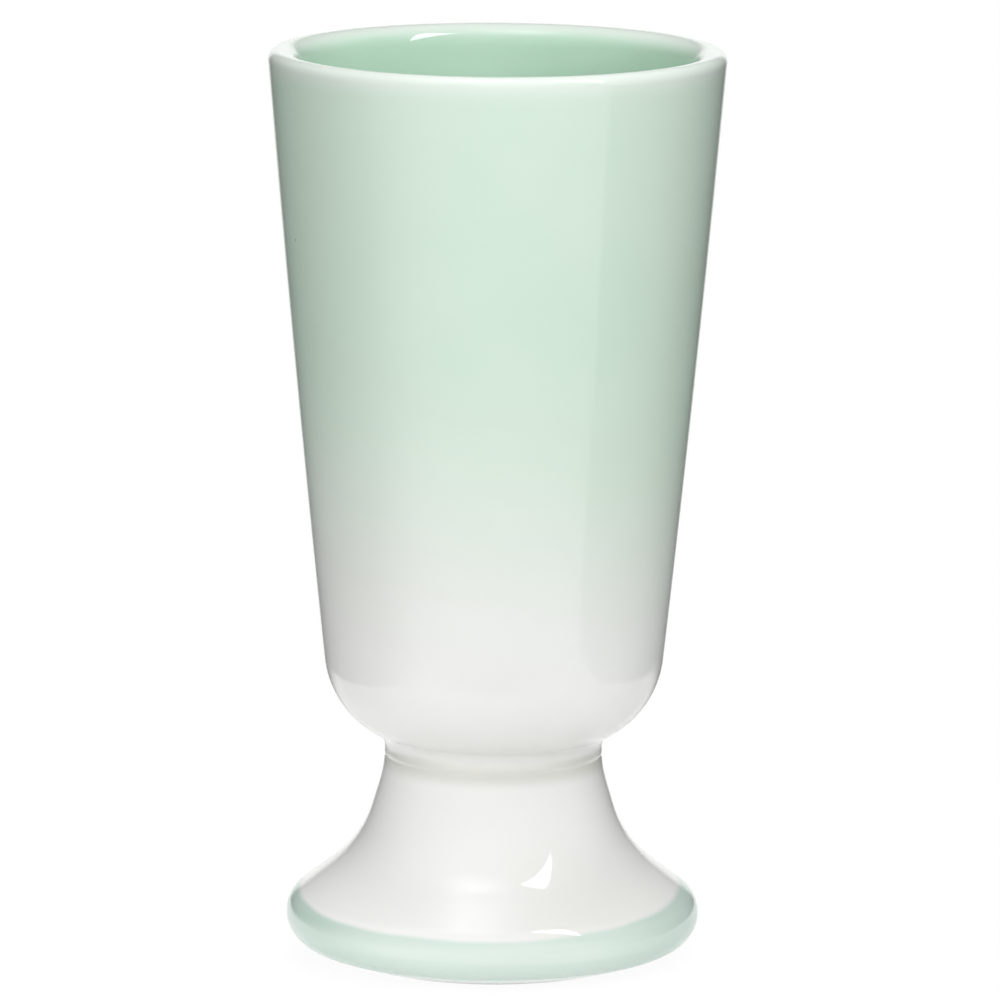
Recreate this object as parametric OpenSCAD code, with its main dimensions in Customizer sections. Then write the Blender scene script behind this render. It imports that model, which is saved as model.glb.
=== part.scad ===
// Mazagran cup: a tall tapered porcelain bowl, luted with slip onto a hollow flared foot and then glazed.
// The cup stands on z = 0 with its axis on z. Sizes are in millimetres and finished, over the glaze.

/* [Bowl] */
// Height of the lip above the table
cup_height = 140; // [120:1:160]
// Diameter at the lip, where the line of the wall would reach the top
rim_diameter = 70; // [63:0.5:77]
// Radius of the lip's outer round
lip_outer_radius = 1.6; // [1.2:0.1:2]
// Radius of the lip's inner round, which is slower and runs down into the bowl
lip_inner_radius = 3.5; // [2.8:0.1:4]
// Diameter where the lines of the wall and of the underside would meet
heel_diameter = 50.4; // [46:0.1:55]
// How far the underside rises from the collar to the heel
underside_rise = 4.4; // [3.5:0.1:6]
// Share of the underside that the curve of the heel takes up
heel_share = 0.92; // [0.6:0.01:0.92]
// How far the wall swells out of a straight taper, halfway up
wall_swell = 0.5; // [0.2:0.1:1]
// Share of the wall that curves with the swell
swell_share = 0.75; // [0.3:0.05:0.8]
// Thickness of the wall at the heel, measured level
wall_thickness = 4.6; // [3.8:0.1:5.4]
// Thickness of the bowl's floor
floor_thickness = 5; // [4:0.1:7]
// How far the curve between floor and wall runs along each of them
inside_reach = 10; // [5:0.5:13]

/* [Collar] */
// Diameter of the collar under the bowl
collar_diameter = 33.4; // [30:0.1:37]
// Height at which the collar meets the underside of the bowl
collar_height = 33.9; // [30:0.1:38]
// Share of the underside that the small curve at the collar takes up
collar_share = 0.06; // [0.03:0.01:0.07]
// Length of the collar, down to the luted seam
collar_length = 2.6; // [2:0.1:4]
// Thickness of the bed of slip in that seam
slip_thickness = 0.5; // [0.3:0.1:1]
// How far the bowl's underside within the collar lies above the collar's upper end
ceiling_rise = 1.1; // [0.8:0.1:2]
// How far the curve between that underside and the collar runs along each of them
ceiling_reach = 1.5; // [0.5:0.1:2]

/* [Foot] */
// Largest diameter of the foot, at its rolled rim
foot_diameter = 63.5; // [58:0.5:70]
// Radius of the rolled rim
roll_radius = 4.8; // [4:0.1:5.4]
// Height of the rolled rim above the table
roll_lift = 1.5; // [1.2:0.1:2]
// Slope of the rim's underside against the table, in degrees
underside_slope = 19; // [17:1:22]
// Share of the way from collar to rim at which the lines of stem and flare would meet
flare_spread = 0.233; // [0.2:0.005:0.27]
// Height of that meeting point, as a share of the height of the collar
flare_level = 0.52; // [0.48:0.01:0.56]
// Share of the stem that the bend into the flare takes up
flare_share = 0.47; // [0.3:0.01:0.6]
// Height where the line of the stem would turn upright, as a share of the height of the collar
stem_level = 0.867; // [0.84:0.001:0.88]
// Share of the way from there up to the bowl that the bend of the stem takes up
stem_share = 0.8; // [0.4:0.05:0.8]
// Thickness of the foot's wall
foot_wall = 4.4; // [3.8:0.1:4.8]
// Width of the flat standing ring
ring_width = 2.4; // [1.8:0.1:3]
// Width of the bare bevel outside the standing ring
ring_bevel = 2; // [1.5:0.1:2.5]
// Share of the hollow's flare that the bend into its stem takes up
hollow_share = 0.55; // [0.3:0.05:0.6]
// Share of the hollow's flare that the bend into its mouth takes up
mouth_share = 0.35; // [0.1:0.05:0.35]

/* [Glaze] */
// Thickness of every glaze coat
glaze_thickness = 0.4; // [0.3:0.05:0.5]
// Height at which the mint coat of the bowl gives way to the clear coat
fade_height = 66; // [60:1:90]
// Height of the upper edge of the mint band on the foot
band_height = 9.4; // [8.5:0.1:10]
// Height above the table at which the glaze stops, so that the standing ring stays bare
bare_height = 0.6; // [0.5:0.1:1]

/* [Hidden] */
$fn = 96;
// How far the short straight sides of an arc may stray from it
arc_tolerance = 0.015;
// Least difference in height between a cut across an outline and the outline's next point
least_step = 0.05;

porcelain = "#f3f1ec";
slip = "#e9e6df";
clear_coat = "#f0f2ee";
mint_coat = "#b4d4c0";
mint_band = "#cfe2d7";

// Direction to the left of a direction d
function left_of(d) = [-d.y, d.x] / norm(d);

// Corner p, between its neighbours a and b, with both its lines moved to the left
function moved_corner(a, p, b, distance) =
    let (m = left_of(p - a) + left_of(b - p))
    p + m * 2 * distance / (m * m);

// Path moved to its left, each stretch parallel to the one that it came from
function parallel(path, distance) =
    let (last = len(path) - 1)
    [for (i = [0:last])
        i == 0 ? path[0] + left_of(path[1] - path[0]) * distance
        : i == last ? path[last] + left_of(path[last] - path[last - 1]) * distance
        : moved_corner(path[i - 1], path[i], path[i + 1], distance)];

// Points of an arc round a centre, from one polar angle to another
function arc(centre, radius, from, to) =
    let (steps = max(3, ceil(abs(to - from) / (2 * acos(1 - arc_tolerance / radius)))))
    [for (i = [0:steps])
        let (angle = from + (to - from) * i / steps)
        centre + radius * [cos(angle), sin(angle)]];

// Polar angle at which a line through p touches a circle on its right, seen from the centre towards p
function touch_angle(centre, radius, p) =
    let (d = p - centre)
    atan2(d.y, d.x) - acos(radius / norm(d));

// Corner p, between its neighbours a and b, replaced by an arc that touches both lines at its reach from p
function rounded_corner(a, p, b, reach) =
    let (
        u = (a - p) / norm(a - p),
        w = (b - p) / norm(b - p),
        half = acos(u * w) / 2,
        radius = reach * tan(half),
        centre = p + (u + w) / norm(u + w) * reach / cos(half),
        start = p + u * reach - centre,
        turn = u.x * w.y - u.y * w.x < 0 ? 1 : -1,
        from = atan2(start.y, start.x)
    )
    arc(centre, radius, from, from + turn * (180 - 2 * half));

// The corners between the two ends of a path, each rounded from its own reach before it to as far after it
function rounded(ends_and_corners, reaches) =
    [for (i = [0:len(reaches) - 1])
        each rounded_corner(ends_and_corners[i], ends_and_corners[i + 1], ends_and_corners[i + 2], reaches[i])];

// Points at height z on a path that rises there
function crossing(path, z) =
    [for (i = [1:len(path) - 1])
        let (a = path[i - 1], b = path[i])
        if (a.y <= z && b.y > z) a + (b - a) * (z - a.y) / (b.y - a.y)];

// The part of a rising path below or above height z, ending in a point at that height
function below(path, z) = concat([for (p = path) if (p.y < z - least_step) p], crossing(path, z));
function above(path, z) = concat(crossing(path, z), [for (p = path) if (p.y > z + least_step) p]);

function reversed(path) = [for (i = [len(path) - 1:-1:0]) path[i]];
function without_first(path) = [for (i = [1:len(path) - 1]) path[i]];

// Foot: the rolled rim, and the corners of flare, stem and collar
collar_r = collar_diameter / 2;
foot_r = foot_diameter / 2;
roll_centre = [foot_r - roll_radius, roll_lift + roll_radius];
flare_corner = [collar_r + (foot_r - collar_r) * flare_spread, collar_height * flare_level];
stem_corner = [collar_r, collar_height * stem_level];
collar_corner = [collar_r, collar_height];
flare_reach = norm(stem_corner - flare_corner) * flare_share;
stem_reach = norm(collar_corner - stem_corner) * stem_share;
roll = arc(roll_centre, roll_radius, underside_slope - 90, touch_angle(roll_centre, roll_radius, flare_corner));
roll_top = roll[len(roll) - 1];
underside = [cos(underside_slope), sin(underside_slope)];
bare_edge = roll[0] - underside * (roll[0].y - bare_height) / underside.y;

// Bowl: the corners of heel and wall, and the lip as two rounds that meet at its top and touch the wall's two sides
heel_corner = [heel_diameter / 2, collar_height + underside_rise];
rim_corner = [rim_diameter / 2, cup_height];
swell_corner = (heel_corner + rim_corner) / 2 + [wall_swell, 0];
collar_reach = norm(heel_corner - collar_corner) * collar_share;
heel_reach = norm(heel_corner - collar_corner) * heel_share;
swell_reach = norm(rim_corner - swell_corner) * swell_share;
wall_lean = atan2(rim_corner.x - swell_corner.x, rim_corner.y - swell_corner.y);
lip_r = rim_corner.x - lip_outer_radius * (tan(wall_lean) + 1 / cos(wall_lean));
outer_lip_centre = [lip_r, cup_height - lip_outer_radius];
inner_lip_centre = [lip_r, cup_height - lip_inner_radius];
ceiling_height = collar_height + ceiling_rise;
inside_corner = [heel_corner.x - wall_thickness, ceiling_height + floor_thickness];
floor_centre = [0, inside_corner.y];
outer_lip = arc(outer_lip_centre, lip_outer_radius, -wall_lean, 90);
inner_lip = arc(inner_lip_centre, lip_inner_radius, 90,
                360 + touch_angle(inner_lip_centre, lip_inner_radius, inside_corner));
lip_inside = inner_lip[len(inner_lip) - 1];

// Hollow of the foot: its flare and stem follow the outside, one wall further in
hollow_flare = moved_corner(roll_top, flare_corner, stem_corner, foot_wall);
hollow_stem = moved_corner(flare_corner, stem_corner, collar_corner, foot_wall);
ceiling_corner = [hollow_stem.x, ceiling_height];
ceiling_centre = [0, ceiling_height];
mouth_r = bare_edge.x - ring_bevel - ring_width - glaze_thickness;
flare_fall = (roll_top.y - flare_corner.y) / (roll_top.x - flare_corner.x);
mouth_corner = [mouth_r, hollow_flare.y + (mouth_r - hollow_flare.x) * flare_fall];
mouth_edge = [mouth_r, bare_height];
hollow_reach = norm(mouth_corner - hollow_flare) * hollow_share;
mouth_reach = norm(mouth_corner - hollow_flare) * mouth_share;

// Finished lines, each with the body on its left
outside_line = concat(
    [bare_edge],
    roll,
    rounded([roll_top, flare_corner, stem_corner, collar_corner, heel_corner, swell_corner, outer_lip[0]],
            [flare_reach, stem_reach, collar_reach, heel_reach, swell_reach]),
    outer_lip);
inside_line = concat(inner_lip, rounded([lip_inside, inside_corner, floor_centre], [inside_reach]), [floor_centre]);
hollow_line = concat(
    [ceiling_centre],
    rounded([ceiling_centre, ceiling_corner, hollow_stem, hollow_flare, mouth_corner, mouth_edge],
            [ceiling_reach, stem_reach, hollow_reach, mouth_reach]),
    [mouth_edge]);

// The outside and inside as one line, with a point where one coat gives way to the next
band_line = below(outside_line, band_height);
clear_line = below(above(outside_line, band_height), fade_height);
mint_line = above(outside_line, fade_height);
glazed_line = concat(band_line, without_first(clear_line), without_first(mint_line), without_first(inside_line));
band_end = len(band_line) - 1;
fade_end = band_end + len(clear_line) - 1;
lip_top = fade_end + len(mint_line) - 1;
floor_end = lip_top + len(inside_line) - 1;

// The bare porcelain under the glaze
body_line = parallel(glazed_line, glaze_thickness);
body_hollow = reversed(parallel(hollow_line, glaze_thickness));
seam_top = collar_height - collar_length;
seam_bottom = seam_top - slip_thickness;

// Solid of revolution round the z axis from a closed outline in r and z
module turned(outline) {
    rotate_extrude()
        polygon(outline);
}

// Coat of glaze over the stretch of the glazed line between two of its points
module coat(first, last) {
    turned(concat(
        [for (i = [first:last]) glazed_line[i]],
        [for (i = [last:-1:first]) body_line[i]]));
}

// Porcelain beaker, with a rounded lip and heel and the collar that takes the foot
module bowl() {
    color(porcelain)
        turned(concat(above(body_line, seam_top), reversed(above(body_hollow, seam_top))));
}

// Bed of slip that joins the collar to the top of the foot
module slip_seam() {
    color(slip)
        turned(concat(
            below(above(body_line, seam_bottom), seam_top),
            reversed(below(above(body_hollow, seam_bottom), seam_top))));
}

// Hollow porcelain foot, flared to a rolled rim, with a bare flat ring to stand on
module foot() {
    ring = [[mouth_r + glaze_thickness, 0], [mouth_r + glaze_thickness + ring_width, 0]];
    color(porcelain)
        turned(concat(ring, below(body_line, seam_bottom), reversed(below(body_hollow, seam_bottom))));
}

// Mint liner, from the top of the lip down over the floor
module inside_glaze() {
    color(mint_coat)
        coat(lip_top, floor_end);
}

// Mint coat outside the bowl, from the fade up to the top of the lip
module upper_glaze() {
    color(mint_coat)
        coat(fade_end, lip_top);
}

// Clear coat over the lower bowl, the seam and the foot, down to the mint band
module lower_glaze() {
    color(clear_coat)
        coat(band_end, fade_end);
}

// Mint band round the rolled rim of the foot
module foot_band_glaze() {
    color(mint_band)
        coat(0, band_end);
}

// Clear coat in the hollow of the foot and under the bowl
module foot_hollow_glaze() {
    color(clear_coat)
        turned(concat(hollow_line, body_hollow));
}

bowl();
slip_seam();
foot();
inside_glaze();
upper_glaze();
lower_glaze();
foot_band_glaze();
foot_hollow_glaze();
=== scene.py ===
import math

import bpy
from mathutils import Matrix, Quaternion, Vector


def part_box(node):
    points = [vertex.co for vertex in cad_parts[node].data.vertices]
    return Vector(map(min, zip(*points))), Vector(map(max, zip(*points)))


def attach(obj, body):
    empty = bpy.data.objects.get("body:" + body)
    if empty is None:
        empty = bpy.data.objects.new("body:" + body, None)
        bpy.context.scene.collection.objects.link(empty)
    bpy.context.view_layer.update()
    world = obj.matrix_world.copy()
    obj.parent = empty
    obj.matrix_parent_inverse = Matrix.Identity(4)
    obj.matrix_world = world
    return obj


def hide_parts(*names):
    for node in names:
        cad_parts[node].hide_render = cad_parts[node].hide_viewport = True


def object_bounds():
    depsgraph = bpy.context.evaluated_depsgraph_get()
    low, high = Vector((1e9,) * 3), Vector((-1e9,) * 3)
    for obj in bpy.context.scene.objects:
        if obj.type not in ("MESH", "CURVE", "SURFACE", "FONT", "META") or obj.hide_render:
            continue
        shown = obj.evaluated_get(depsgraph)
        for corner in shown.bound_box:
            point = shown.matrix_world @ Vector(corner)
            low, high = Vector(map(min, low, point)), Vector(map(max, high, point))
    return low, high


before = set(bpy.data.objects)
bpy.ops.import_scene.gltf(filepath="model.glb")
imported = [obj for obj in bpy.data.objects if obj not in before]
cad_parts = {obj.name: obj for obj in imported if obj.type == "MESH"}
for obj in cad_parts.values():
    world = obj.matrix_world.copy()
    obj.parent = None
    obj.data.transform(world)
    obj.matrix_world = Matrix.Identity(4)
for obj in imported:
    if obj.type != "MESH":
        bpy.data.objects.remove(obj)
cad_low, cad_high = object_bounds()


# Bowl
# The clay body of the beaker, slip cast in white porcelain with a short collar under it. It is biscuit fired
# on its foot before glazing, and afterwards no part of it shows: it gives the coats their ground.
MM = 0.001
CLAY_PALE = (0.88, 0.86, 0.81, 1)
CLAY_DULL = (0.80, 0.77, 0.70, 1)
CLAY_SMOOTH, CLAY_ROUGH = 0.55, 0.72
MOTTLE_WAVES = 140
TOOTH_WAVES = 2600
CLOUD_LOW, CLOUD_HIGH = 0.3, 0.7
bare_tooth = 0.008 * MM


def wire(tree, kind, inputs, **settings):
    """Adds a node with its settings, and sets or links each of its inputs."""
    node = tree.nodes.new("ShaderNode" + kind)
    for name, value in settings.items():
        setattr(node, name, value)
    for socket, value in inputs.items():
        if isinstance(value, bpy.types.NodeSocket):
            tree.links.new(value, node.inputs[socket])
        else:
            node.inputs[socket].default_value = value
    return node


def eased(tree, value, low, high, at_low, at_high):
    """Number that eases from one value to another while an input runs from low to high."""
    ends = {"Value": value, "From Min": low, "From Max": high, "To Min": at_low, "To Max": at_high}
    return wire(tree, "MapRange", ends, interpolation_type="SMOOTHSTEP").outputs[0]


def tinted(tree, share, first, second):
    """Colour that goes from the first to the second as share goes from 0 to 1."""
    return wire(tree, "Mix", {0: share, 6: first, 7: second}, data_type="RGBA").outputs[2]


def cloud(tree, vector, waves, detail=1):
    """Soft random value, mostly from CLOUD_LOW to CLOUD_HIGH, with this many waves to the metre."""
    return wire(tree, "TexNoise", {"Vector": vector, "Scale": waves, "Detail": detail}).outputs[0]


def own_place(tree):
    """Place on the piece, in the object's own coordinates."""
    return wire(tree, "TexCoord", {}).outputs["Object"]


def new_effect(name, outputs):
    """Shader node group for an effect that several finishes share, and its output node."""
    effect = bpy.data.node_groups.new(name, "ShaderNodeTree")
    for output in outputs:
        effect.interface.new_socket(name=output, in_out="OUTPUT", socket_type="NodeSocketFloat")
    return effect, effect.nodes.new("NodeGroupOutput")


def new_finish(name):
    """Node material, with its tree and its shader."""
    finish = bpy.data.materials.new(name)
    finish.use_nodes = True
    return finish, finish.node_tree, finish.node_tree.nodes["Principled BSDF"]


# Mottling and fine tooth of fired clay without glaze
fired_clay, clay_out = new_effect("fired_clay", ["Mottle", "Tooth"])
clay_place = own_place(fired_clay)
fired_clay.links.new(cloud(fired_clay, clay_place, MOTTLE_WAVES, detail=4), clay_out.inputs["Mottle"])
fired_clay.links.new(cloud(fired_clay, clay_place, TOOTH_WAVES, detail=2), clay_out.inputs["Tooth"])


def clay_finish(name, pale, dull, tooth_depth):
    """Matt fired clay, mottled between two colours."""
    finish, tree, shader = new_finish(name)
    clay = wire(tree, "Group", {}, node_tree=fired_clay)
    mottle = clay.outputs["Mottle"]
    roughness = eased(tree, mottle, CLOUD_LOW, CLOUD_HIGH, CLAY_SMOOTH, CLAY_ROUGH)
    tooth = wire(tree, "Bump", {"Height": clay.outputs["Tooth"], "Distance": tooth_depth})
    tree.links.new(tinted(tree, mottle, pale, dull), shader.inputs["Base Color"])
    tree.links.new(roughness, shader.inputs["Roughness"])
    tree.links.new(tooth.outputs["Normal"], shader.inputs["Normal"])
    return finish


bare_porcelain = clay_finish("bare_porcelain", CLAY_PALE, CLAY_DULL, bare_tooth)
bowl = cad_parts["bowl"]
bowl.data.materials.clear()
bowl.data.materials.append(bare_porcelain)


# Slip seam
# The bed of liquid clay that joins the bowl's collar to the top of the foot. It is brushed on while both are
# leather hard, squeezed to half a millimetre, and fired with them, a little duller than the porcelain.
SLIP_PALE = (0.84, 0.81, 0.75, 1)
SLIP_DULL = (0.76, 0.72, 0.65, 1)
slip_tooth = 0.02 * MM

luting_slip = clay_finish("luting_slip", SLIP_PALE, SLIP_DULL, slip_tooth)
slip_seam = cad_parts["slip_seam"]
slip_seam.data.materials.clear()
slip_seam.data.materials.append(luting_slip)
seam_low, seam_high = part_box("slip_seam")


# Foot
# The hollow porcelain foot, cast by itself and turned true: a stem that flares to a rolled rim. The ring it
# stands on is wiped clear of glaze before the last firing and then rubbed smooth, so it stays bare and matt.
GLAZE = 0.4 * MM
ARC_STEP = 3
FEWEST_ARC_STEPS = 6
TURN_STEPS = 192
SAME_POINT = 0.01 * MM
MERGED_POINTS = 0.002 * MM
SMOOTH_ANGLE = 30
foot_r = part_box("foot_band_glaze")[1].x
collar_r = 16.7 * MM
collar_z = 33.9 * MM
flare_spread = 0.233
flare_level = 0.52
flare_share = 0.47
stem_level = 0.867
stem_share = 0.8
glazed_stem_reach = 2.5 * MM
roll_r = 4.8 * MM
roll_lift = 1.5 * MM
rim_slope = 19
foot_wall = 4.4 * MM
ceiling_z = 35.0 * MM
hollow_share = 0.55
mouth_share = 0.35
bare_z = 0.6 * MM
ring_width = 2.4 * MM
ring_bevel = 2.0 * MM
ring_rub = 0.25 * MM


def on_circle(centre, radius, angle):
    """Point of a circle at a polar angle in degrees."""
    return centre + radius * Vector((math.cos(math.radians(angle)), math.sin(math.radians(angle))))


def rounding(before, corner, after, reach):
    """Bend that rounds a corner, from its reach before it to as far after it: centre, radius, two angles."""
    back = (before - corner).normalized()
    on = (after - corner).normalized()
    half = back.angle(on) / 2
    radius = reach * math.tan(half)
    centre = corner + (back + on).normalized() * reach / math.cos(half)
    start = corner + back * reach - centre
    turn = math.copysign(180 - 2 * math.degrees(half), on.x * back.y - on.y * back.x)
    first = math.degrees(math.atan2(start.y, start.x))
    return centre, radius, first, first + turn


def moved_corner(before, corner, after, distance):
    """Corner with both its lines moved to their left."""
    along, on = (corner - before).normalized(), (after - corner).normalized()
    left = Vector((-along.y - on.y, along.x + on.x))
    return corner + left * 2 * distance / left.length_squared


def inset(bend, depth):
    """Bend moved to the left of its own run."""
    centre, radius, first, last = bend
    return centre, radius - math.copysign(depth, last - first), first, last


def angle_at(bend, height):
    """Angle at which a bend passes a height."""
    centre, radius, first, last = bend
    rise = math.degrees(math.asin((height - centre.y) / radius))
    middle = (first + last) / 2
    return min((rise, 180 - rise, -180 - rise), key=lambda angle: abs(angle - middle))


def until(bend, height):
    """Part of a bend before it passes a height."""
    return *bend[:3], angle_at(bend, height)


def onward(bend, height):
    """Part of a bend after it passes a height."""
    return *bend[:2], angle_at(bend, height), bend[3]


def entry(stroke):
    """Point where a stroke begins to bend, or the end of a straight one."""
    return stroke if isinstance(stroke, Vector) else on_circle(*stroke[:3])


def leave(stroke):
    """Point where a stroke ends."""
    return stroke if isinstance(stroke, Vector) else on_circle(*stroke[:2], stroke[3])


def draw_section(name, strokes):
    """New piece in edit mode: half of its section, in X and Z, along straight lines and round bends."""
    bpy.ops.object.select_all(action="DESELECT")
    bpy.ops.mesh.primitive_plane_add(size=MM)
    piece = bpy.context.object
    piece.name = piece.data.name = name
    bpy.ops.object.mode_set(mode="EDIT")
    bpy.ops.mesh.merge(type="CENTER")
    here = entry(strokes[0])
    bpy.ops.transform.translate(value=(here.x, 0, here.y))
    for stroke in strokes:
        step = entry(stroke) - here
        if step.length > SAME_POINT:
            bpy.ops.mesh.extrude_vertices_move(TRANSFORM_OT_translate={"value": (step.x, 0, step.y)})
        if not isinstance(stroke, Vector):
            centre, _, first, last = stroke
            bpy.ops.mesh.spin(
                steps=max(FEWEST_ARC_STEPS, math.ceil(abs(last - first) / ARC_STEP)),
                angle=math.radians(last - first),
                center=(centre.x, 0, centre.y),
                axis=(0, 1, 0),
            )
        here = leave(stroke)
    return piece


def turn_section(inwards=False):
    """Turns the drawn section once round the Z axis and closes the seam, its faces outwards or inwards."""
    bpy.ops.mesh.select_all(action="SELECT")
    bpy.ops.mesh.spin(steps=TURN_STEPS, angle=math.tau, center=(0, 0, 0), axis=(0, 0, 1))
    bpy.ops.mesh.select_all(action="SELECT")
    bpy.ops.mesh.remove_doubles(threshold=MERGED_POINTS)
    bpy.ops.mesh.normals_make_consistent(inside=inwards)
    bpy.ops.object.mode_set(mode="OBJECT")


def set_in_place(piece, node, finish):
    """Smooths a finished piece, gives it its finish, and puts it on the cup in place of its solid."""
    bpy.ops.object.shade_smooth_by_angle(angle=math.radians(SMOOTH_ANGLE))
    piece.data.materials.append(finish)
    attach(piece, "root")
    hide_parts(node)


# Outside of the foot, over the glaze, from the bare ring up to the collar
flare_corner = Vector((collar_r + (foot_r - collar_r) * flare_spread, collar_z * flare_level))
stem_corner = Vector((collar_r, collar_z * stem_level))
collar_corner = Vector((collar_r, collar_z))
flare_reach = (stem_corner - flare_corner).length * flare_share
stem_reach = (collar_corner - stem_corner).length * stem_share
roll_centre = Vector((foot_r - roll_r, roll_lift + roll_r))
to_flare = flare_corner - roll_centre
flare_touch = math.degrees(math.atan2(to_flare.y, to_flare.x) - math.acos(roll_r / to_flare.length))
roll_bend = (roll_centre, roll_r, rim_slope - 90, flare_touch)
roll_top = leave(roll_bend)
flare_bend = rounding(roll_top, flare_corner, stem_corner, flare_reach)
stem_bend = rounding(flare_corner, stem_corner, collar_corner, glazed_stem_reach)
roll_foot = entry(roll_bend)
rim_run = Vector((1, math.tan(math.radians(rim_slope))))
bare_edge = roll_foot - rim_run * (roll_foot.y - bare_z) / rim_run.y
bare_edge_clay = bare_edge + Vector((-rim_run.y, rim_run.x)) / rim_run.length * GLAZE

# Hollow of the foot, over the glaze, from the ceiling down to the mouth
mouth_r = bare_edge.x - ring_bevel - ring_width - GLAZE
hollow_flare = moved_corner(roll_top, flare_corner, stem_corner, foot_wall)
hollow_stem = moved_corner(flare_corner, stem_corner, collar_corner, foot_wall)
flare_fall = (roll_top.y - flare_corner.y) / (roll_top.x - flare_corner.x)
mouth_corner = Vector((mouth_r, hollow_flare.y + (mouth_r - hollow_flare.x) * flare_fall))
mouth_edge = Vector((mouth_r, bare_z))
hollow_run = (mouth_corner - hollow_flare).length
ceiling_corner = Vector((hollow_stem.x, ceiling_z))
hollow_stem_bend = rounding(ceiling_corner, hollow_stem, hollow_flare, stem_reach)
hollow_flare_bend = rounding(hollow_stem, hollow_flare, mouth_corner, hollow_run * hollow_share)
mouth_bend = rounding(hollow_flare, mouth_corner, mouth_edge, hollow_run * mouth_share)

# The clay lies one coat further in, and is rubbed round at the edges of its standing ring
ring_inner = Vector((mouth_r + GLAZE, 0))
ring_outer = ring_inner + Vector((ring_width, 0))
foot = draw_section("foot_body", [
    ring_inner + Vector((ring_rub, 0)),
    rounding(ring_inner, ring_outer, bare_edge_clay, ring_rub),
    bare_edge_clay,
    inset(roll_bend, GLAZE),
    inset(flare_bend, GLAZE),
    until(inset(stem_bend, GLAZE), seam_low.z),
    onward(inset(hollow_stem_bend, GLAZE), seam_low.z),
    inset(hollow_flare_bend, GLAZE),
    inset(mouth_bend, GLAZE),
    rounding(mouth_corner + Vector((GLAZE, 0)), ring_inner, ring_outer, ring_rub),
])
turn_section()
set_in_place(foot, "foot", bare_porcelain)


# Clear coat in the foot's hollow
# The same clear glaze as outside, poured into the upturned foot and out again before the ring is wiped.
# It lines the hollow and the underside of the bowl, and ends at the bare ring.
CLEAR_WHITE = (0.80, 0.80, 0.785, 1)
CLEAR_WARM = (0.77, 0.767, 0.74, 1)
SPECK_BROWN = (0.16, 0.13, 0.10, 1)
GLAZE_IOR = 1.5
GLAZE_GLOSSY, GLAZE_DULLER = 0.03, 0.05
RIPPLE_DEPTH = 0.02 * MM
RIPPLE_WAVES = 55
PEEL_WAVES = 650
PEEL_SHARE = 0.06
TONE_WAVES = 32
SPECK_WAVES = 90
SPECK_CORE, SPECK_EDGE = 0.012, 0.02
SPECK_SHARE = 0.75
warm_from, warm_to, warm_most = 0.35, 0.75, 0.6
ceiling_reach = 1.5 * MM


def reckon(tree, operation, first, second):
    """Number worked out from two others."""
    return wire(tree, "Math", {0: first, 1: second}, operation=operation).outputs[0]


# Slow ripple and fine peel of a melted glaze, soft clouds in its colour, and a few dark specks
melted_glaze, melted_out = new_effect("melted_glaze", ["Height", "Cloud", "Speck"])
melted_place = own_place(melted_glaze)
ripple = cloud(melted_glaze, melted_place, RIPPLE_WAVES)
peel = reckon(melted_glaze, "MULTIPLY", cloud(melted_glaze, melted_place, PEEL_WAVES), PEEL_SHARE)
tone = cloud(melted_glaze, melted_place, TONE_WAVES, detail=2)
speck_cells = wire(melted_glaze, "TexVoronoi", {"Vector": melted_place, "Scale": SPECK_WAVES})
from_speck = speck_cells.outputs["Distance"]
speck = eased(melted_glaze, from_speck, SPECK_CORE, SPECK_EDGE, SPECK_SHARE, 0.0)
melted_glaze.links.new(reckon(melted_glaze, "ADD", ripple, peel), melted_out.inputs["Height"])
melted_glaze.links.new(tone, melted_out.inputs["Cloud"])
melted_glaze.links.new(speck, melted_out.inputs["Speck"])


def glaze_finish(name, colour_of):
    """Glossy glaze, whose colour before the specks comes from colour_of(tree, cloud)."""
    finish, tree, shader = new_finish(name)
    melt = wire(tree, "Group", {}, node_tree=melted_glaze)
    clouds = melt.outputs["Cloud"]
    colour = tinted(tree, melt.outputs["Speck"], colour_of(tree, clouds), SPECK_BROWN)
    roughness = eased(tree, clouds, CLOUD_LOW, CLOUD_HIGH, GLAZE_GLOSSY, GLAZE_DULLER)
    wave = wire(tree, "Bump", {"Height": melt.outputs["Height"], "Distance": RIPPLE_DEPTH})
    tree.links.new(colour, shader.inputs["Base Color"])
    tree.links.new(roughness, shader.inputs["Roughness"])
    tree.links.new(wave.outputs["Normal"], shader.inputs["Normal"])
    shader.inputs["IOR"].default_value = GLAZE_IOR
    return finish


def clear_colour(tree, clouds):
    """White of the porcelain through clear glaze, warmer here and there."""
    return tinted(tree, eased(tree, clouds, warm_from, warm_to, 0.0, warm_most), CLEAR_WHITE, CLEAR_WARM)


def thicken_coat(piece):
    """Gives a turned sheet the thickness of a glaze coat, behind its face."""
    bpy.ops.object.modifier_add(type="SOLIDIFY")
    coat = piece.modifiers[-1]
    coat.thickness = GLAZE
    coat.offset = -1
    coat.use_even_offset = True
    bpy.ops.object.modifier_apply(modifier=coat.name)


ceiling_middle = Vector((0, ceiling_z))
ceiling_bend = rounding(ceiling_middle, ceiling_corner, hollow_stem, ceiling_reach)
hollow_coat = draw_section(
    "hollow_coat",
    [ceiling_middle, ceiling_bend, hollow_stem_bend, hollow_flare_bend, mouth_bend, mouth_edge],
)
turn_section(inwards=True)
thicken_coat(hollow_coat)
clear_hollow = glaze_finish("clear_hollow", clear_colour)
set_in_place(hollow_coat, "foot_hollow_glaze", clear_hollow)


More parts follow.
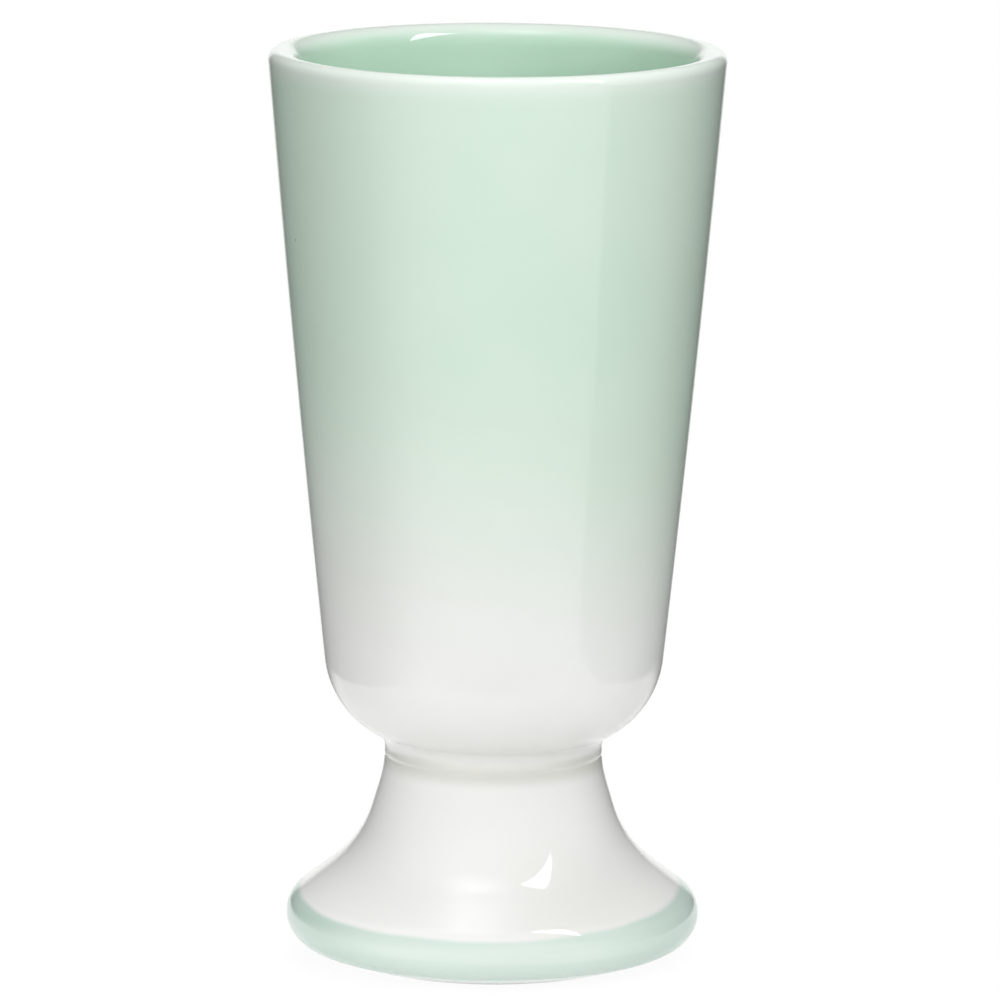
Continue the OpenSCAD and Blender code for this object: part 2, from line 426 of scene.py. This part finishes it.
# Mint band round the foot
# A thin mint wash, brushed round the rolled rim while the foot turns on a wheel, under the clear glaze. It is
# streaky, and its upper edge wanders and lies lowest in front. In front the wash is painted paler, as a
# painted reflection of the white floor.
BAND_PALE = (0.685, 0.765, 0.715, 1)
BAND_MINT = (0.48, 0.605, 0.54, 1)
WANDER_WAVES = 120
STROKE_WAVES = (14, 14, 330)
STREAK_LOW, STREAK_HIGH = 0.32, 0.68
band_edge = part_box("foot_band_glaze")[1].z
band_mean = 10.7 * MM
band_dip = 2.2 * MM
band_lean = 0.45 * MM
band_soft = 0.35 * MM
band_wander = 0.5 * MM
# How much paler the painted reflection makes the front of the band
front_sheen_share = 0.6
streak_thinness = 0.3


def split(tree, vector):
    """Outputs X, Y and Z of a vector."""
    return wire(tree, "SeparateXYZ", {"Vector": vector}).outputs


# Where the wash lies, and how pale it is from its streaks and from a painted reflection in front
brushed_band, band_out = new_effect("brushed_band", ["Wash", "ThinAndSheen"])
band_place = own_place(brushed_band)
band_xyz = split(brushed_band, band_place)
dip = reckon(brushed_band, "MULTIPLY", band_xyz["Y"], -band_dip / foot_r)
lean = reckon(brushed_band, "MULTIPLY", band_xyz["X"], -band_lean / foot_r)
wander = reckon(brushed_band, "MULTIPLY", cloud(brushed_band, band_place, WANDER_WAVES), band_wander)
dipped_level = reckon(brushed_band, "ADD", band_xyz["Z"], dip)
band_level = reckon(brushed_band, "ADD", dipped_level, reckon(brushed_band, "ADD", lean, wander))
edge_low = band_mean + band_wander / 2 - band_soft
edge_high = band_mean + band_wander / 2 + band_soft
wash = eased(brushed_band, band_level, edge_low, edge_high, 1.0, 0.0)
stroke_place = wire(brushed_band, "Mapping", {"Vector": band_place, "Scale": STROKE_WAVES}).outputs[0]
strokes = cloud(brushed_band, stroke_place, 1, detail=2)
streak = eased(brushed_band, strokes, STREAK_LOW, STREAK_HIGH, 0.0, 1.0)
# Painted reflection: the front of the band is painted paler, as if it mirrored the white floor; the streaks
# are the wash's own.
front_sheen_area = eased(brushed_band, band_xyz["Y"], -foot_r, -foot_r / 2, 1.0, 0.0)
painted_front_sheen = reckon(brushed_band, "MULTIPLY", front_sheen_area, front_sheen_share)
thin_in_streaks = reckon(brushed_band, "MULTIPLY", streak, streak_thinness)
thin = reckon(brushed_band, "ADD", painted_front_sheen, thin_in_streaks)
brushed_band.links.new(wash, band_out.inputs["Wash"])
brushed_band.links.new(thin, band_out.inputs["ThinAndSheen"])


def banded(tree, ground):
    """Colour of the ground with the brushed mint wash over it."""
    band = wire(tree, "Group", {}, node_tree=brushed_band)
    mint = tinted(tree, band.outputs["ThinAndSheen"], BAND_MINT, BAND_PALE)
    return tinted(tree, band.outputs["Wash"], ground, mint)


def band_colour(tree, clouds):
    """Mint wash, with clear glaze above its edge."""
    return banded(tree, clear_colour(tree, clouds))


band_coat = draw_section("band_coat", [bare_edge, until(roll_bend, band_edge)])
turn_section()
thicken_coat(band_coat)
set_in_place(band_coat, "foot_band_glaze", glaze_finish("mint_band", band_colour))


# Clear coat outside
# Clear glaze over the lower bowl, the collar, the luted seam and the foot. It sinks a little into the seam,
# and round the collar it is painted grey as shade under the bowl's heel. The mint sprayed on the bowl runs
# out into it as a soft fade.
MINT = (0.635, 0.77, 0.665, 1)
MINT_DEEP = (0.605, 0.755, 0.64, 1)
# The grey below is painted shade round the collar and the seam, under the overhang of the bowl's heel.
COLLAR_SHADE = (0.66, 0.66, 0.62, 1)
DRIFT_WAVES = 22
heel_r = 25.2 * MM
underside_rise = 4.4 * MM
rim_r = 35.0 * MM
wall_swell = 0.5 * MM
swell_share = 0.75
heel_share = 0.84
collar_reach = 1.5 * MM
fade_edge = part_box("upper_glaze")[0].z
fade_low, fade_high = 42 * MM, 98 * MM
fade_lean = 0.16
fade_drift = 6 * MM
shade_low, shade_high = 28.5 * MM, 34.2 * MM
seam_dip = 0.12 * MM
seam_half = 0.5 * MM
seam_cuts = 3

heel_corner = Vector((heel_r, collar_z + underside_rise))
rim_corner = Vector((rim_r, cad_high.z))
swell_corner = (heel_corner + rim_corner) / 2 + Vector((wall_swell, 0))
heel_reach = (heel_corner - collar_corner).length * heel_share
swell_reach = (rim_corner - swell_corner).length * swell_share
collar_bend = rounding(stem_corner, collar_corner, heel_corner, collar_reach)
heel_bend = rounding(collar_corner, heel_corner, swell_corner, heel_reach)
swell_bend = rounding(heel_corner, swell_corner, rim_corner, swell_reach)

# Share of mint in the fade, which lies lower on the right
sprayed_fade, fade_out = new_effect("sprayed_fade", ["Mint"])
fade_place = own_place(sprayed_fade)
fade_xyz = split(sprayed_fade, fade_place)
drift = reckon(sprayed_fade, "MULTIPLY", cloud(sprayed_fade, fade_place, DRIFT_WAVES), fade_drift)
slant = reckon(sprayed_fade, "MULTIPLY", fade_xyz["X"], fade_lean)
fade_level = reckon(sprayed_fade, "ADD", fade_xyz["Z"], reckon(sprayed_fade, "ADD", slant, drift))
white_below, mint_above = fade_low + fade_drift / 2, fade_high + fade_drift / 2
mint_share = eased(sprayed_fade, fade_level, white_below, mint_above, 0.0, 1.0)
sprayed_fade.links.new(mint_share, fade_out.inputs["Mint"])


def faded(tree, ground, mint):
    """Colour that goes from the ground to mint with the sprayed fade."""
    fade = wire(tree, "Group", {}, node_tree=sprayed_fade)
    return tinted(tree, fade.outputs["Mint"], ground, mint)


def mint_colour(tree, clouds):
    """Sprayed mint, softly clouded."""
    return tinted(tree, eased(tree, clouds, CLOUD_LOW, CLOUD_HIGH, 0.0, 1.0), MINT, MINT_DEEP)


def lower_colour(tree, clouds):
    """Clear glaze, painted grey round the collar as shade under the bowl's heel, under the fade and the band.
    """
    height = split(tree, own_place(tree))["Z"]
    above_stem = eased(tree, height, shade_low, seam_low.z, 0.0, 1.0)
    below_heel = eased(tree, height, seam_high.z, shade_high, 1.0, 0.0)
    # Painted shade: the collar under the bowl's heel is tinted grey, most over the seam.
    collar_shade = reckon(tree, "MULTIPLY", above_stem, below_heel)
    clear = tinted(tree, collar_shade, clear_colour(tree, clouds), COLLAR_SHADE)
    return banded(tree, faded(tree, clear, mint_colour(tree, clouds)))


clear_coat = draw_section("clear_coat", [
    onward(roll_bend, band_edge),
    flare_bend,
    stem_bend,
    collar_bend,
    heel_bend,
    until(swell_bend, fade_edge),
])
turn_section()

# Crease over the seam: rings are cut across it, and the middle one is drawn in
seam_middle = (seam_low.z + seam_high.z) / 2
seam_touch = seam_half / 20
bpy.ops.object.mode_set(mode="EDIT")
for cut in range(-seam_cuts, seam_cuts + 1):
    bpy.ops.mesh.select_all(action="SELECT")
    bpy.ops.mesh.bisect(plane_co=(0, 0, seam_middle + seam_half * cut / seam_cuts), plane_no=(0, 0, 1))
bpy.ops.mesh.select_mode(type="VERT")
bpy.ops.mesh.select_all(action="DESELECT")
bpy.ops.object.mode_set(mode="OBJECT")
for vertex in clear_coat.data.vertices:
    vertex.select = abs(vertex.co.z - seam_middle) < seam_touch
bpy.ops.object.mode_set(mode="EDIT")
drawn_in = 1 - seam_dip / collar_r
bpy.ops.transform.resize(
    value=(drawn_in, drawn_in, 1),
    center_override=(0, 0, seam_middle),
    use_proportional_edit=True,
    proportional_edit_falloff="SMOOTH",
    proportional_size=seam_half,
)
bpy.ops.object.mode_set(mode="OBJECT")
thicken_coat(clear_coat)
set_in_place(clear_coat, "lower_glaze", glaze_finish("clear_outer", lower_colour))


# Mint coat outside the bowl
# Mint glaze sprayed from the lip downwards, thinner and thinner, so that it fades into the clear coat. On
# the round of the lip it draws away from the edge and lets the white porcelain through.
LIP_PALE = (0.77, 0.83, 0.775, 1)
LIP_WAVES = 90
lip_outer_r = 1.6 * MM
lip_wander = 0.6 * MM
lip_paleness = 0.9
outer_break = 4.5 * MM
wall_lean = math.atan2(rim_corner.x - swell_corner.x, rim_corner.y - swell_corner.y)
lip_width = lip_outer_r * (math.tan(wall_lean) + 1 / math.cos(wall_lean))
lip_top = Vector((rim_corner.x - lip_width, cad_high.z))
outer_lip_bend = (lip_top - Vector((0, lip_outer_r)), lip_outer_r, -math.degrees(wall_lean), 90)

# Depth below the top of the lip, which wanders a little round the rim
lip_break, lip_out = new_effect("lip_break", ["Depth"])
lip_place = own_place(lip_break)
lip_shift = reckon(lip_break, "MULTIPLY", cloud(lip_break, lip_place, LIP_WAVES), lip_wander)
lip_height = reckon(lip_break, "ADD", split(lip_break, lip_place)["Z"], lip_shift)
lip_depth = reckon(lip_break, "SUBTRACT", cad_high.z + lip_wander / 2, lip_height)
lip_break.links.new(lip_depth, lip_out.inputs["Depth"])


def thinned(tree, colour, reach):
    """Colour that pales from this far down to the top of the lip, where the glaze is thin."""
    lip = wire(tree, "Group", {}, node_tree=lip_break)
    return tinted(tree, eased(tree, lip.outputs["Depth"], 0, reach, lip_paleness, 0.0), colour, LIP_PALE)


def upper_colour(tree, clouds):
    """Mint that fades into clear glaze below and thins out on the lip."""
    ground = faded(tree, clear_colour(tree, clouds), mint_colour(tree, clouds))
    return thinned(tree, ground, outer_break)


mint_coat = draw_section("mint_coat", [onward(swell_bend, fade_edge), outer_lip_bend])
turn_section()
thicken_coat(mint_coat)
set_in_place(mint_coat, "upper_glaze", glaze_finish("mint_outer", upper_colour))


# Mint liner
# A thicker coat of the same mint, poured into the bowl and out again. It is deeper in colour than the
# sprayed coat, gathers on the floor, and meets the outer coat on top of the lip.
LINER_MINT = (0.55, 0.745, 0.605, 1)
LINER_POOL = (0.47, 0.67, 0.535, 1)
deep_from, deep_to, deep_most = 0.4, 0.8, 0.6
inner_break = 2.2 * MM
lip_inner_r = 3.5 * MM
bowl_wall = 4.6 * MM
bowl_floor = 5 * MM
inside_reach = 10 * MM
inside_corner = Vector((heel_corner.x - bowl_wall, ceiling_z + bowl_floor))
floor_middle = Vector((0, inside_corner.y))
inner_lip_centre = lip_top - Vector((0, lip_inner_r))
to_floor = inside_corner - inner_lip_centre
wall_turn = math.atan2(to_floor.y, to_floor.x) - math.acos(lip_inner_r / to_floor.length)
inner_lip_bend = (inner_lip_centre, lip_inner_r, 90, 360 + math.degrees(wall_turn))
floor_bend = rounding(leave(inner_lip_bend), inside_corner, floor_middle, inside_reach)


def liner_colour(tree, clouds):
    """Deep mint, deepest where it gathers on the floor, and thin on the lip."""
    height = split(tree, own_place(tree))["Z"]
    pool = eased(tree, height, floor_middle.y, floor_middle.y + inside_reach, 1.0, 0.0)
    deep = reckon(tree, "MAXIMUM", pool, eased(tree, clouds, deep_from, deep_to, 0.0, deep_most))
    return thinned(tree, tinted(tree, deep, LINER_MINT, LINER_POOL), inner_break)


liner = draw_section("mint_liner", [inner_lip_bend, floor_bend, floor_middle])
turn_section()
thicken_coat(liner)
set_in_place(liner, "inside_glaze", glaze_finish("mint_liner", liner_colour))


# Floor
# A plain white board that lies a hair below the standing ring and glows a little. The camera and the glaze
# see it almost as white as the background, with the cup's shadow. It fades out at its front and its back,
# and is clear from below, so that the foot's underside can be looked at.
FLOOR_PALE = (0.88, 0.88, 0.87, 1)
WHITE = (1, 1, 1, 1)
floor_left, floor_right = -0.110, 0.128
floor_front, floor_back = -0.110, 0.160
front_fade, back_fade = 0.010, 0.080
floor_drop = 0.1 * MM
floor_roughness = 0.9
floor_shine = 0.1
floor_whiteness = 0.93
floor_glow = 0.19


def ray_kinds(tree):
    """Whether a ray comes straight from the camera, and whether it comes off a mirror or through glass."""
    path = wire(tree, "LightPath", {}).outputs
    return path["Is Camera Ray"], reckon(tree, "MAXIMUM", path["Is Glossy Ray"], path["Is Transmission Ray"])


bpy.ops.object.select_all(action="DESELECT")
bpy.ops.mesh.primitive_plane_add(size=1)
board = bpy.context.object
board.name = board.data.name = "floor"
bpy.ops.object.mode_set(mode="EDIT")
bpy.ops.transform.resize(value=(floor_right - floor_left, floor_back - floor_front, 1))
bpy.ops.transform.translate(
    value=((floor_left + floor_right) / 2, (floor_front + floor_back) / 2, -floor_drop),
)
bpy.ops.object.mode_set(mode="OBJECT")
white_board, board_tree, board_shader = new_finish("white_board")
board_shader.inputs["Base Color"].default_value = FLOOR_PALE
board_shader.inputs["Roughness"].default_value = floor_roughness
board_shader.inputs["Specular IOR Level"].default_value = floor_shine
board_shader.inputs["Emission Color"].default_value = WHITE
board_shader.inputs["Emission Strength"].default_value = floor_glow
board_straight, board_mirrored = ray_kinds(board_tree)
looked_at = reckon(board_tree, "MAXIMUM", board_straight, board_mirrored)
whitened = reckon(board_tree, "MULTIPLY", looked_at, floor_whiteness)
board_glow = wire(board_tree, "Emission", {"Color": WHITE, "Strength": 1}).outputs[0]
lit = wire(board_tree, "MixShader", {0: whitened, 1: board_shader.outputs[0], 2: board_glow}).outputs[0]
along = split(board_tree, own_place(board_tree))["Y"]
off_front = eased(board_tree, along, floor_front, floor_front + front_fade, 1.0, 0.0)
off_back = eased(board_tree, along, floor_back - back_fade, floor_back, 0.0, 1.0)
faded_out = reckon(board_tree, "MAXIMUM", off_front, off_back)
from_below = wire(board_tree, "NewGeometry", {}).outputs["Backfacing"]
unseen = reckon(board_tree, "MAXIMUM", from_below, faded_out)
clear_board = wire(board_tree, "BsdfTransparent", {}).outputs[0]
shown = wire(board_tree, "MixShader", {0: unseen, 1: lit, 2: clear_board}).outputs[0]
board_tree.links.new(shown, board_tree.nodes["Material Output"].inputs["Surface"])
board.data.materials.append(white_board)


# Studio
# A dim room with a white background, which the glaze mirrors behind the cup and as a pale veil low in front.
# The main lamp is broad and in front. Weaker ones stand high on the right, low on the left, and behind, and
# two more show in the glaze: a wedge high on the right and a soft one overhead.
cup_middle = Vector((0, 0, cad_high.z / 2))
room_light = 0.06
backdrop_way = (0, 1, 0)
backdrop_core, backdrop_end = 8, 22
veil_right, veil_right_edge = (-0.469, -0.883, 0), (0.02, 0.08)
veil_left, veil_left_edge = (0.326, -0.946, 0), (-0.3, 0.6)
veil_top_edge = (-0.16, -0.05)
veil_low_edge = (-0.44, -0.375)
lamp_middle = (0.5, 0.5, 0)
wedge_half = 0.5
soft_core, soft_end, soft_peak = 0.05, 0.5, 3.0

scene = bpy.context.scene
scene.view_settings.view_transform = "Standard"
studio = bpy.data.worlds.new("studio")
scene.world = studio
studio.use_nodes = True
studio_tree = studio.node_tree
studio_light = studio_tree.nodes["Background"]
direction = wire(studio_tree, "TexCoord", {}).outputs["Generated"]


def share_along(way):
    """How far the direction points a given way, from -1 to 1."""
    return wire(studio_tree, "VectorMath", {0: direction, 1: way}, operation="DOT_PRODUCT").outputs["Value"]


backdrop_low, backdrop_high = math.cos(math.radians(backdrop_end)), math.cos(math.radians(backdrop_core))
backdrop = eased(studio_tree, share_along(backdrop_way), backdrop_low, backdrop_high, 0.0, 1.0)
rise = split(studio_tree, direction)["Z"]
within_right = eased(studio_tree, share_along(veil_right), *veil_right_edge, 0.0, 1.0)
within_left = eased(studio_tree, share_along(veil_left), *veil_left_edge, 0.0, 1.0)
within_top = eased(studio_tree, rise, *veil_top_edge, 1.0, 0.0)
within_low = eased(studio_tree, rise, *veil_low_edge, 0.0, 1.0)
veil_across = reckon(studio_tree, "MULTIPLY", within_right, within_left)
veil_up = reckon(studio_tree, "MULTIPLY", within_top, within_low)
veil = reckon(studio_tree, "MULTIPLY", veil_across, veil_up)
straight, mirrored = ray_kinds(studio_tree)
mirrored_white = reckon(studio_tree, "MULTIPLY", mirrored, reckon(studio_tree, "MAXIMUM", backdrop, veil))
white_share = reckon(studio_tree, "MAXIMUM", straight, mirrored_white)
room_strength = eased(studio_tree, white_share, 0, 1, room_light, 1.0)
studio_tree.links.new(room_strength, studio_light.inputs["Strength"])
studio_light.inputs["Color"].default_value = WHITE


def softbox(name, azimuth, elevation, distance, width, height, level, turn=0, in_glaze=False):
    """Lamp that faces the cup; by itself, at level 1, it renders a white surface that faces it as white."""
    a, e = math.radians(azimuth), math.radians(elevation)
    away = Vector((math.sin(a) * math.cos(e), -math.cos(a) * math.cos(e), math.sin(e)))
    bpy.ops.object.light_add(type="AREA", location=cup_middle + away * distance)
    box = bpy.context.object
    box.name = box.data.name = name
    facing = away.to_track_quat("Z", "Y") @ Quaternion((0, 0, 1), math.radians(turn))
    box.rotation_euler = facing.to_euler()
    box.data.shape = "RECTANGLE"
    box.data.size = width
    box.data.size_y = height
    box.data.energy = level * (math.pi * distance) ** 2
    box.visible_camera = False
    box.visible_glossy = in_glaze
    return box


def lamp_mask(box):
    """Node tree of an unevenly bright lamp, with the place on the lamp and the socket for its strength."""
    box.data.use_nodes = True
    tree = box.data.node_tree
    place = wire(tree, "NewGeometry", {}).outputs["Parametric"]
    return tree, place, tree.nodes["Emission"].inputs["Strength"]


softbox("front_light", azimuth=12, elevation=24, distance=0.38, width=0.40, height=0.20, level=0.88)
softbox("high_right_light", azimuth=55, elevation=58, distance=1.0, width=0.5, height=0.5, level=0.22)
softbox("left_fill", azimuth=-75, elevation=5, distance=1.0, width=0.5, height=0.4, level=0.36)
softbox("top_back_light", azimuth=180, elevation=62, distance=1.2, width=0.7, height=0.7, level=0.52)
softbox("back_fill", azimuth=180, elevation=12, distance=1.0, width=0.5, height=0.4, level=0.42)
corner_light = softbox(
    "corner_light", azimuth=62.3, elevation=53.6, distance=0.765,
    width=0.19, height=0.48, level=0.5, turn=-8.5, in_glaze=True,
)
top_light = softbox(
    "top_light", azimuth=-45, elevation=79, distance=1.0,
    width=0.7, height=0.8, level=0.14, in_glaze=True,
)

# Only a wedge of the corner light is lit, with its tip below, and only the glaze shows it
corner_light.visible_diffuse = False
corner_tree, corner_place, corner_strength = lamp_mask(corner_light)
corner_xyz = split(corner_tree, corner_place)
across = reckon(corner_tree, "SUBTRACT", corner_xyz["X"], lamp_middle[0])
off_axis = reckon(corner_tree, "ABSOLUTE", across, 0)
wedge_width = reckon(corner_tree, "MULTIPLY", corner_xyz["Y"], wedge_half)
corner_tree.links.new(reckon(corner_tree, "LESS_THAN", off_axis, wedge_width), corner_strength)

# The top light is brightest in its middle, so that its image in the glaze has no edge
top_tree, top_place, top_strength = lamp_mask(top_light)
from_middle = wire(top_tree, "VectorMath", {0: top_place, 1: lamp_middle}, operation="DISTANCE")
off_middle = from_middle.outputs["Value"]
top_tree.links.new(eased(top_tree, off_middle, soft_core, soft_end, soft_peak, 0.0), top_strength)


# Camera
# At the height of a seated viewer, in front of the cup and looking a little down on it. It is rolled and
# shifted by a hair, so that the cup stands in the frame as it does in the photograph.
view_distance = 1.3
view_elevation = math.radians(10.2)
view_roll = math.radians(0.37)
view_focal = 305.8
view_shift_x, view_shift_y = 0.0051, 0.0038
view_from = cup_middle + view_distance * Vector((0, -math.cos(view_elevation), math.sin(view_elevation)))
bpy.ops.object.camera_add(location=view_from)
camera = bpy.context.object
look = (cup_middle - view_from).to_track_quat("-Z", "Y") @ Quaternion((0, 0, 1), view_roll)
camera.rotation_euler = look.to_euler()
camera.data.lens = view_focal
camera.data.shift_x = view_shift_x
camera.data.shift_y = view_shift_y
scene.camera = camera
